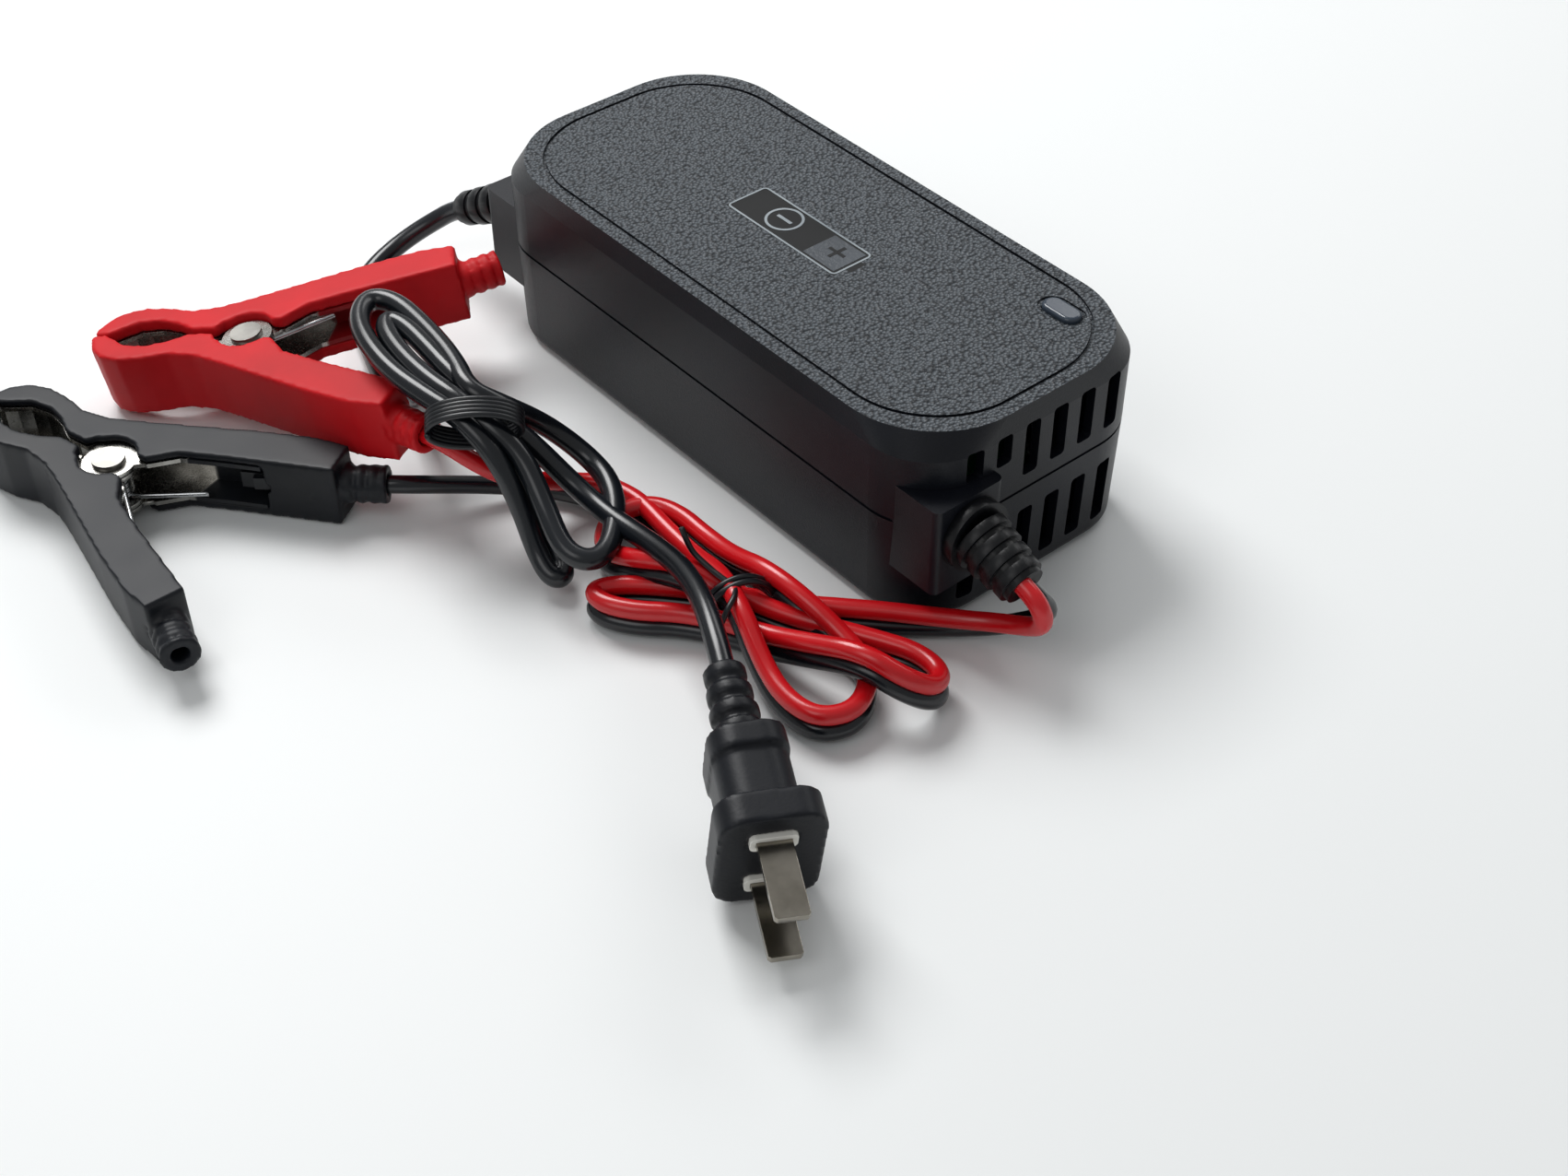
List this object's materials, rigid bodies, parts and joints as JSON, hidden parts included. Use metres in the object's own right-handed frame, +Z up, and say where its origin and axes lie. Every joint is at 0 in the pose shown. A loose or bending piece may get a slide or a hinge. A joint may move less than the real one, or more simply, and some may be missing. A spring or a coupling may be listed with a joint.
{
  "type": "car battery charger",
  "caption": "Compact car battery charger: vented plastic casing, mains lead with a two-blade plug, and a red and black output lead ending in spring clips.",
  "frame": {"origin": "centre of the casing's underside", "axes": "+X along the casing towards the vented end with the output lead, -Y towards the long side with both glands, +Z up"},
  "size_m": [0.2306, 0.1856, 0.0468],
  "materials": {
    "case_plastic": "dark grey moulded plastic with a fine grain",
    "screw_steel": "zinc plated",
    "lens_plastic": "milky translucent",
    "symbol_print": "printed battery outline",
    "relief_rubber": "black moulded rubber",
    "board_laminate": "green laminate",
    "ferrite": "ferrite",
    "winding_tape": "yellow tape",
    "sink_aluminium": "bare",
    "chip_epoxy": "black epoxy",
    "can_sleeve": "dark sleeve",
    "copper_winding": "enamelled copper",
    "capacitor_box": "yellow box",
    "fuse_glass": "clear",
    "led_epoxy": "diffused epoxy",
    "wire_black": "glossy black insulation",
    "wire_red": "glossy red insulation",
    "inner_wire": "insulated wire",
    "tie_plastic": "black wrap",
    "plug_rubber": "black moulded plug",
    "plug_white": "off-white moulding",
    "nickel": "nickel plated",
    "boot_red": "satin red vinyl",
    "boot_black": "satin black vinyl",
    "sheet_steel": "nickel plated sheet",
    "spring_steel": "bright wire"
  },
  "bodies": {
    "charger": {"top_cover": "case_plastic", "bottom_cover": "case_plastic", "case_screws": "screw_steel", "status_led_lens": "lens_plastic", "battery_symbol": "symbol_print", "ac_strain_relief": "relief_rubber", "dc_strain_relief": "relief_rubber", "circuit_board": "board_laminate", "board_screws": "screw_steel", "transformer_bobbin": "chip_epoxy", "transformer_core": "ferrite", "transformer_winding": "winding_tape", "primary_heat_sink": "sink_aluminium", "switching_transistor": "chip_epoxy", "secondary_heat_sink": "sink_aluminium", "rectifier_diode": "chip_epoxy", "bulk_capacitor": "can_sleeve", "output_capacitors": "can_sleeve", "common_mode_choke": "copper_winding", "x_capacitor": "capacitor_box", "fuse": "fuse_glass", "bridge_rectifier": "chip_epoxy", "output_inductor": "copper_winding", "status_led": "led_epoxy", "controller_chip": "chip_epoxy", "optocoupler": "chip_epoxy", "ac_inner_wires": "inner_wire", "dc_inner_wires": "inner_wire", "ac_cord_lead": "wire_black", "ac_cord_hank": "wire_black", "ac_cord_tail": "wire_black", "ac_cord_tie": "tie_plastic", "plug_body": "plug_rubber", "plug_insert": "plug_white", "plug_blades": "nickel", "red_wire_lead": "wire_red", "black_wire_lead": "wire_black", "dc_cord_hank": "wire_red", "dc_cord_tie": "tie_plastic", "red_wire_end": "wire_red", "black_wire_end": "wire_black", "red_wired_boot": "boot_red", "red_wired_jaw": "sheet_steel", "red_clip_rivet": "nickel", "red_clip_spring": "spring_steel", "red_crimp_ferrule": "nickel", "black_wired_boot": "boot_black", "black_wired_jaw": "sheet_steel", "black_clip_rivet": "nickel", "black_clip_spring": "spring_steel", "black_crimp_ferrule": "nickel"},
    "red_free_arm": {"red_free_boot": "boot_red", "red_free_jaw": "sheet_steel"},
    "black_free_arm": {"black_free_boot": "boot_black", "black_free_jaw": "sheet_steel"}
  },
  "joints": [
    {"name": "red_clip_hinge", "type": "hinge", "parent": "charger", "child": "red_free_arm", "pos_m": [-0.0779, -0.0916, 0.0063], "axis": [0.1146, 0.1014, -0.9882], "range_deg": [0, 30], "stiffness_Nm_per_rad": 0.35, "springref_deg": -34.38, "deforming": ["red_clip_spring"]},
    {"name": "black_clip_hinge", "type": "hinge", "parent": "charger", "child": "black_free_arm", "pos_m": [-0.067, -0.134, 0], "axis": [0, 0, 1], "range_deg": [0, 30], "stiffness_Nm_per_rad": 0.35, "springref_deg": -34.38, "deforming": ["black_clip_spring"]}
  ]
}
